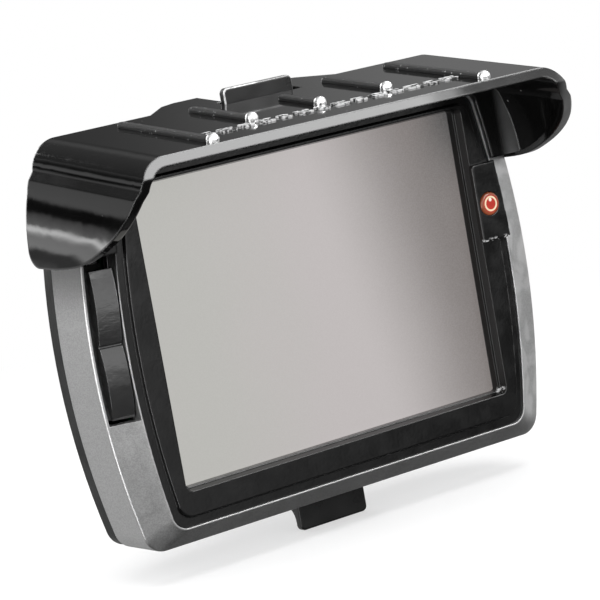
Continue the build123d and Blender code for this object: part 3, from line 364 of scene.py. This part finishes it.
def button_red():
    """Translucent red cap, orange at its rim, with a pale lit bar at the top of its middle."""
    ring_low, ring_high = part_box("button_light_ring")
    middle = (ring_low + ring_high) / 2
    s = Shader("button_red").round_edges(0.15)
    flat = s.vectors("MULTIPLY", s.vectors("SUBTRACT", s.place, middle), (1, 0, 1))
    rim = s.ramp(s.vectors("DISTANCE", flat, (0, 0, 0)), (1.4 * MM, 1.9 * MM), (0.0, 1.0))
    bar = s.ramp(s.vectors("DISTANCE", flat, (0, 0, 0.75 * MM)), (0.25 * MM, 0.42 * MM), (1.0, 0.0))
    colour = s.mix(rim, s.mix(s.noise(0.9), (0.36, 0.012, 0.005), (0.48, 0.03, 0.012)), (0.22, 0.05, 0.018))
    colour = s.mix(bar, colour, (0.85, 0.72, 0.62))
    s.set(Base_Color=colour, Roughness=0.25, Emission_Color=colour, Emission_Strength=0.1)
    s.bump(s.noise(0.4), 0.01)
    return s.material


def tab_painted_highlight():
    """Black moulding of the jaw, with a painted highlight: pale colour along the rounded rims of its finger
    tab, stronger on the left half.
    """
    s = Shader("cradle_plastic_painted_highlight").round_edges(0.22)
    toward = s.maths("ABSOLUTE", s.facing()[1])  # 1 on the tab's front and back, 0 on its ends and top
    not_side = s.ramp(toward, (0.12, 0.3), (0.0, 1.0))
    not_front = s.ramp(toward, (0.85, 0.97), (1.0, 0.0))
    rim = s.times(not_side, not_front)
    # painted highlight: pale along the tab's rounded rims, stronger on the left half
    highlight_left_half = s.ramp(s.xyz()[0], (-1.0 * MM, 0.5 * MM), (0.9, 0.25))
    painted_rim_highlight = s.times(rim, highlight_left_half)
    painted_rim_highlight = s.times(painted_rim_highlight, s.ramp(s.noise(1.6, detail=3.0), (0.3, 0.5), (0.6, 1.0)))
    s.set(Base_Color=s.mix(painted_rim_highlight, s.mix(s.noise(9.0), grey(0.002), grey(0.004)), grey(0.7)), IOR=1.36)
    s.set(Roughness=s.ramp(s.noise(4.0), (0.2, 0.8), (0.24, 0.38)))
    s.bump(s.noise(0.4, detail=2.0), 0.012)
    return s.material


def button_ring():
    """Cream light ring."""
    s = Shader("button_ring")
    s.set(Base_Color=s.mix(s.noise(0.5), (0.62, 0.46, 0.28), (0.85, 0.70, 0.50)), Roughness=0.3)
    s.set(Emission_Color=(1.0, 0.80, 0.55), Emission_Strength=0.12)
    s.bump(s.noise(0.3), 0.01)
    return s.material


finishes = {
    "hood_plastic": hood_plastic(),
    "rib_plastic": rib_plastic(),
    "stud_chrome": stud_chrome(),
    "trim_paint": trim_paint(),
    "pad_rubber": plastic("pad_rubber", grey(0.02), 0.75, grain=0.02, grain_mm=0.4),
    "bezel_plastic": bezel_plastic(),
    "display_film": display_film(),
    "display_cell": plastic("display_cell", grey(0.03), 0.15, coat=0.5),
    "guide_acrylic": plastic("guide_acrylic", (0.80, 0.84, 0.84), 0.12, coat=0.6, tone=0.05),
    "tray_steel": metal("tray_steel", grey(0.55), 0.35, brush=(1, 1, 0.05)),
    "button_red": button_red(),
    "button_ring": button_ring(),
    "frame_silver": frame_silver(),
    "rocker_gloss": rocker_gloss(),
    "screw_steel": metal("screw_steel", grey(0.50), 0.3),
    "spring_steel": metal("spring_steel", grey(0.55), 0.25),
    "board_laminate": plastic("board_laminate", (0.012, 0.12, 0.045), 0.35, grain_mm=0.6, grain=0.02),
    "chip_resin": plastic("chip_resin", grey(0.02), 0.6, grain=0.01),
    "carrier_plastic": plastic("carrier_plastic", grey(0.05), 0.5, grain=0.01),
    "horn_metal": metal("horn_metal", grey(0.6), 0.45, brush_mm=0.5),
    "sensor_black": plastic("sensor_black", grey(0.018), 0.55, grain=0.01),
    "lens_red": plastic("lens_red", (0.10, 0.004, 0.004), 0.08, coat=0.8, grain=0.0005),
    "patch_ceramic": plastic("patch_ceramic", (0.55, 0.50, 0.40), 0.55, grain=0.01, tone=0.1),
    "cell_foil": metal("cell_foil", (0.62, 0.62, 0.65), 0.35, brush_mm=1.5),
    "socket_tin": metal("socket_tin", grey(0.6), 0.28),
    "card_plastic": plastic("card_plastic", (0.012, 0.012, 0.016), 0.5, grain=0.01),
    "ribbon_amber": plastic("ribbon_amber", (0.45, 0.18, 0.03), 0.25, coat=0.5, tone=0.1),
    "shell_plastic": plastic(
        "shell_plastic", grey(0.004), 0.42, edge=0.4, grain_mm=0.35, grain=0.02, ior=1.3
    ),
    "window_smoke": plastic("window_smoke", grey(0.006), 0.12, coat=0.7, grain=0.0005),
    "cradle_plastic": plastic(
        "cradle_plastic", grey(0.003), 0.30, edge=0.25, grain_mm=0.4, grain=0.012, ior=1.36
    ),
    "cover_steel": metal("cover_steel", grey(0.16), 0.4, brush=(1, 1, 0.05)),
}
worn_plate = bezel_plastic("bezel_plastic_worn", plate_low.z + 0.1 * MM, plate_low.z + 0.8 * MM)
for part in frame["record"]["subparts"]:
    node = nodes[part["node"]]
    node.data.materials.clear()
    node.data.materials.append(finishes[part["material_slot"]])
nodes["button_plate"].data.materials[0] = worn_plate
nodes["upper_jaw"].data.materials[0] = tab_painted_highlight()
nodes["key_board"].data.materials[0] = plastic("black_laminate", grey(0.002), 0.5, grain_mm=0.6, grain=0.02)


# ---------------------------------------------------------------- the two springs, as coils
def spring_coils():
    """Two compression springs between the jaw's shoulders and the cradle's pocket ends, in one mesh."""
    low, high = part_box("jaw_springs")
    outer = (high.y - low.y) / 2
    wire = 0.25 * MM
    radius = outer - wire
    turns, steps, sides = 7, 28, 8
    rise = high.z - low.z - 2 * wire
    mesh = bpy.data.meshes.new("jaw_spring_coils")
    shape = bmesh.new()
    for centre_x in (low.x + outer, high.x - outer):
        rings = []
        for step in range(turns * steps + 1):
            share = step / (turns * steps)
            angle = 2 * math.pi * turns * share
            ring = []
            for side in range(sides):
                around = 2 * math.pi * side / sides
                reach = radius + wire * math.cos(around)
                ring.append(
                    shape.verts.new(
                        (
                            centre_x + reach * math.cos(angle),
                            (low.y + high.y) / 2 + reach * math.sin(angle),
                            low.z + wire + rise * share + wire * math.sin(around),
                        )
                    )
                )
            rings.append(ring)
        for near, far in zip(rings, rings[1:]):
            for side in range(sides):
                after = (side + 1) % sides
                shape.faces.new((near[side], far[side], far[after], near[after]))
        shape.faces.new(rings[0])
        shape.faces.new(rings[-1][::-1])
    bmesh.ops.recalc_face_normals(shape, faces=shape.faces)
    for face in shape.faces:
        face.smooth = True
    shape.to_mesh(mesh)
    shape.free()
    coils = bpy.data.objects.new("jaw_spring_coils", mesh)
    bpy.context.scene.collection.objects.link(coils)
    mesh.materials.append(finishes["spring_steel"])
    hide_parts("jaw_springs")
    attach(coils, "housing")
    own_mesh(coils)


spring_coils()


# ---------------------------------------------------------------- stage: floor, light and surroundings
def floor_paper():
    """Pale matt paper with a slight tooth that fades into the white background."""
    s = Shader("floor_paper")
    s.set(Base_Color=s.mix(s.noise(40.0), grey(0.90), grey(0.94)), Roughness=0.9)
    s.bump(s.noise(0.8), 0.02)
    far = s.ramp(s.vectors("DISTANCE", s.place, (0, 0, 0)), (0.05, 0.26), (0.55, 1.0))
    white = s.node("ShaderNodeEmission", Color=grey(1.0), Strength=1.0)
    blend = s.node("ShaderNodeMixShader", Fac=far)
    s.feed(blend.inputs[1], s.bsdf.outputs[0])
    s.feed(blend.inputs[2], white.outputs[0])
    s.node("ShaderNodeOutputMaterial", {"is_active_output": True}, Surface=blend.outputs[0])
    return s.material


def studio_light(name, azimuth, elevation, distance, width, height, radiance, seen_in):
    """Rectangular light facing the object; azimuth 0 is at -Y, 90 at +X. seen_in is diffuse or glossy."""
    data = bpy.data.lights.new(name, "AREA")
    data.shape, data.size, data.size_y = "RECTANGLE", width, height
    data.energy = radiance * math.pi * width * height
    light = bpy.data.objects.new(name, data)
    bpy.context.scene.collection.objects.link(light)
    light.visible_diffuse = seen_in == "diffuse"
    light.visible_glossy = seen_in == "glossy"
    a, e = math.radians(azimuth), math.radians(elevation)
    back = Vector((math.sin(a) * math.cos(e), -math.cos(a) * math.cos(e), math.sin(e)))
    light.location = back * distance
    light.rotation_mode = "QUATERNION"
    light.rotation_quaternion = back.to_track_quat("Z", "Y")
    return light


def floor_sheet():
    """Wide level sheet just under the object, left out of reflections."""
    mesh = bpy.data.meshes.new("floor")
    side = 6.0
    mesh.from_pydata(
        [(-side, -side, FLOOR_Z), (side, -side, FLOOR_Z), (side, side, FLOOR_Z), (-side, side, FLOOR_Z)],
        [],
        [(0, 1, 2, 3)],
    )
    floor = bpy.data.objects.new("floor", mesh)
    bpy.context.scene.collection.objects.link(floor)
    mesh.materials.append(floor_paper())
    floor.visible_glossy = False


floor_sheet()

# broad lights that shape the dull surfaces
studio_light("left_fill", -70, 20, 0.9, 0.6, 0.9, 3.0, "diffuse")
studio_light("front_fill", 10, 15, 1.0, 0.9, 0.9, 2.0, "diffuse")
studio_light("overhead_fill", 0, 78, 1.1, 1.2, 1.0, 3.5, "diffuse")
studio_light("rear_fill", 180, 25, 1.0, 0.8, 0.8, 3.0, "diffuse")
# cards that the polished edges mirror
studio_light("left_card", -72, 0, 0.9, 0.30, 1.1, 7.0, "glossy")
studio_light("front_right_card", 21, 28, 1.0, 0.62, 0.66, 9.0, "glossy")
studio_light("right_card", 98, 0, 0.9, 0.30, 0.8, 0.8, "glossy")
studio_light("top_card", 75, 55, 1.0, 0.5, 0.5, 12.0, "glossy")
studio_light("rear_card", 185, 22, 1.0, 0.5, 0.5, 4.0, "glossy")

# what reflections see of the room: (height, brightness) from straight down, 0, over the horizon, 0.5, to 1
FRONT_WALL = ((0.0, 0.05), (0.30, 0.22), (0.452, 0.36), (0.49, 1.6), (0.60, 1.6), (0.75, 1.1), (1.0, 0.9))
BACK_WALL = (
    (0.0, 0.05), (0.40, 0.30), (0.47, 0.30), (0.52, 0.20),  # pale below the horizon
    (0.60, 0.07), (0.70, 0.09), (0.85, 0.5), (1.0, 0.9),  # dark wall under a pale ceiling
)
BACK_LEFT_WALL = (
    (0.0, 0.15), (0.30, 0.8), (0.44, 0.9),  # pale table
    (0.465, 0.25), (0.486, 0.25),  # dark strip
    (0.494, 1.7), (0.520, 1.5), (0.527, 2.2), (0.535, 5.0), (0.541, 4.6),  # pale wall and a bright lamp
    (0.547, 0.95), (0.572, 0.45), (0.580, 0.0), (0.606, 0.0),  # falling off to a dark gap
    (0.614, 0.7), (0.658, 0.55), (0.664, 0.05), (0.695, 0.03),  # grey panel and its shadow
    (0.705, 0.16), (0.722, 0.14), (0.726, 0.7), (0.730, 0.12),  # dim panel with a thin bright edge
    (0.85, 0.20), (1.0, 0.7),  # ceiling
)


def room():
    """White for the camera, an even pale grey for light, and a banded dim room in reflections."""
    world = bpy.data.worlds.new("studio")
    bpy.context.scene.world = world
    t = Tree(world, "Generated")
    split = t.node("ShaderNodeSeparateXYZ", Vector=t.place)
    x, y, z = split.outputs
    height = t.maths("ADD", t.times(z, 0.5), 0.5)  # 0 straight down, 0.5 horizon, 1 straight up
    front = t.bands(height, FRONT_WALL)
    back = t.bands(height, BACK_WALL)
    back_left = t.bands(height, BACK_LEFT_WALL)
    ahead = t.times(y, -1.0)
    front_turn = t.maths("DIVIDE", x, t.maths("MAXIMUM", ahead, 0.2))  # tangent of the angle from ahead
    # in front and below, the right is darker and the left paler
    low_right = t.ramp(front_turn, (0.715, 0.75), (0.0, 0.85))
    low_right = t.times(low_right, t.ramp(height, (0.47, 0.5), (1.0, 0.0)))
    front = t.mix(low_right, front, grey(0.0))
    low_left = t.ramp(front_turn, (0.56, 0.66), (0.35, 0.0))
    front = t.mix(t.times(low_left, t.ramp(height, (0.30, 0.42), (0.0, 1.0))), front, grey(1.4))
    seen = t.mix(t.ramp(y, (-0.25, 0.05), (1.0, 0.0)), back, front)
    behind = t.ramp(y, (0.2, 0.5), (0.0, 1.0))
    turn = t.maths("DIVIDE", x, t.maths("MAXIMUM", y, 0.2))  # tangent of the angle from behind
    left = t.times(behind, t.ramp(turn, (0.2, 0.5), (1.0, 0.0)))
    seen = t.mix(left, seen, back_left)
    right_lift = t.times(behind, t.ramp(turn, (0.60, 0.82), (0.0, 0.28)))
    right_lift = t.times(right_lift, t.ramp(height, (0.55, 0.62), (0.0, 1.0)))
    seen = t.mix(right_lift, seen, grey(1.0))
    path = t.node("ShaderNodeLightPath")
    mirrored = t.node("ShaderNodeBackground", Color=seen)
    even = t.node("ShaderNodeBackground", Color=(0.8, 0.8, 0.82), Strength=0.5)
    shown = t.node("ShaderNodeBackground", Color=grey(1.0))
    lit = t.node("ShaderNodeMixShader", Fac=path.outputs["Is Glossy Ray"])
    t.feed(lit.inputs[1], even.outputs[0])
    t.feed(lit.inputs[2], mirrored.outputs[0])
    final = t.node("ShaderNodeMixShader", Fac=path.outputs["Is Camera Ray"])
    t.feed(final.inputs[1], lit.outputs[0])
    t.feed(final.inputs[2], shown.outputs[0])
    t.node("ShaderNodeOutputWorld", Surface=final.outputs[0])


room()

# ---------------------------------------------------------------- camera: front left, a little above, tilted
CAMERA_AZIMUTH, CAMERA_ELEVATION, CAMERA_ROLL = -33.92, 7.99, -10.1
CAMERA_DISTANCE = 544.2 * MM
CAMERA_TARGET = Vector((10.03, -7.39, -3.83)) * MM
camera_data = bpy.data.cameras.new("camera")
camera_data.lens, camera_data.sensor_width = 174.0, 36.0
camera_data.clip_start, camera_data.clip_end = 0.02, 20.0
camera = bpy.data.objects.new("camera", camera_data)
bpy.context.scene.collection.objects.link(camera)
azimuth, elevation = math.radians(CAMERA_AZIMUTH), math.radians(CAMERA_ELEVATION)
to_camera = Vector(
    (math.sin(azimuth) * math.cos(elevation), -math.cos(azimuth) * math.cos(elevation), math.sin(elevation))
)
camera.location = CAMERA_TARGET + to_camera * CAMERA_DISTANCE
camera.rotation_mode = "QUATERNION"
camera.rotation_quaternion = to_camera.to_track_quat("Z", "Y") @ Quaternion(
    (0, 0, 1), math.radians(CAMERA_ROLL)
)
bpy.context.scene.camera = camera
bpy.context.scene.view_settings.view_transform = "Standard"
